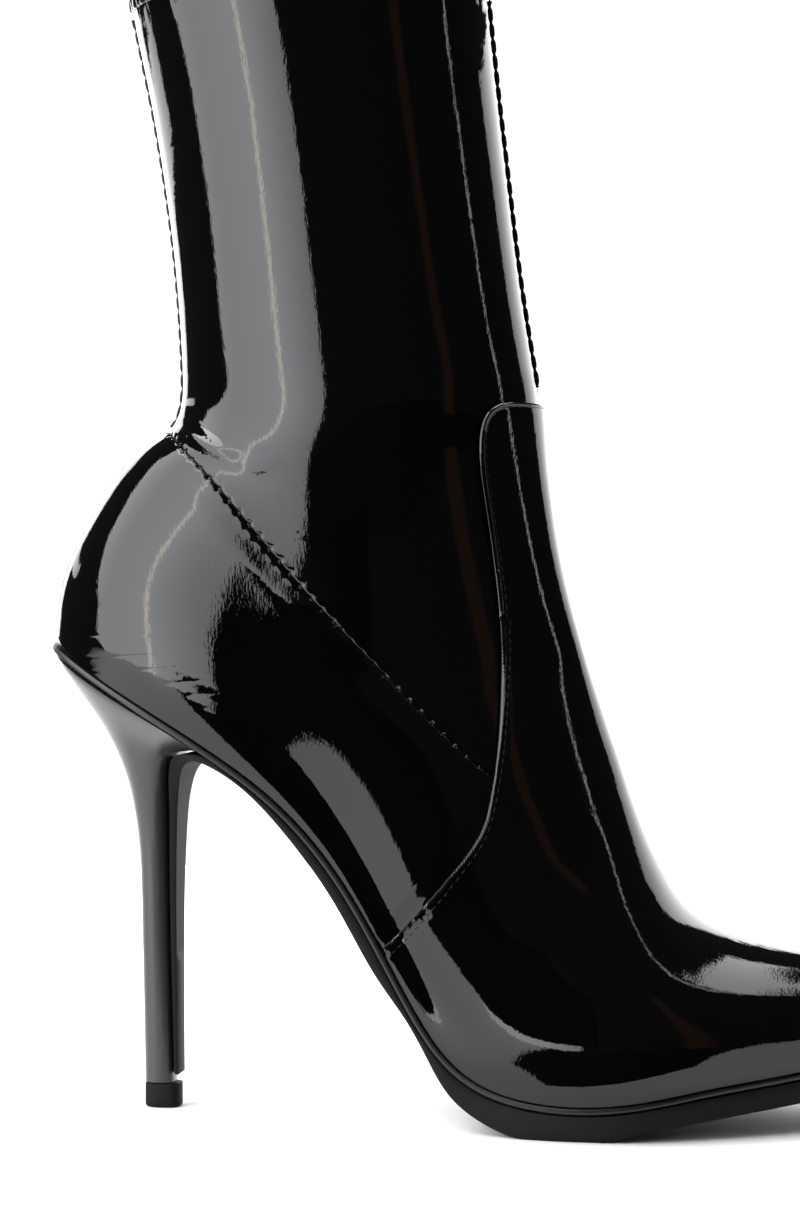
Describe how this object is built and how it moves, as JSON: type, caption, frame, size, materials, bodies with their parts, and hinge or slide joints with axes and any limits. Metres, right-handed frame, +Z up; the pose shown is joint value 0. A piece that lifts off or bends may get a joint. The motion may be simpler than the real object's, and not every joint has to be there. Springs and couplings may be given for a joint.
{
  "type": "stretch ankle boot",
  "caption": "Right stretch ankle boot with patent toe and counter panels, a gathered sock shaft open at the collar, and a tall slim covered heel.",
  "frame": {"origin": "on the floor, under the middle of the boot's bounding box", "axes": "+X towards the toe, +Y towards the inner side of the foot, +Z up the shaft"},
  "size_m": [0.2256, 0.0866, 0.2881],
  "materials": {
    "black_patent": "high gloss patent",
    "black_sock": "matte",
    "black_board": "matte",
    "black_outsole": "matte",
    "black_heel_cover": "satin"
  },
  "bodies": {
    "root": {"upper": "black_patent", "vamp": "black_patent", "quarter": "black_patent", "collar_band": "black_patent", "insole": "black_sock", "midsole": "black_board", "outsole": "black_outsole", "heel": "black_heel_cover", "heel_tip": "black_outsole"}
  },
  "joints": []
}
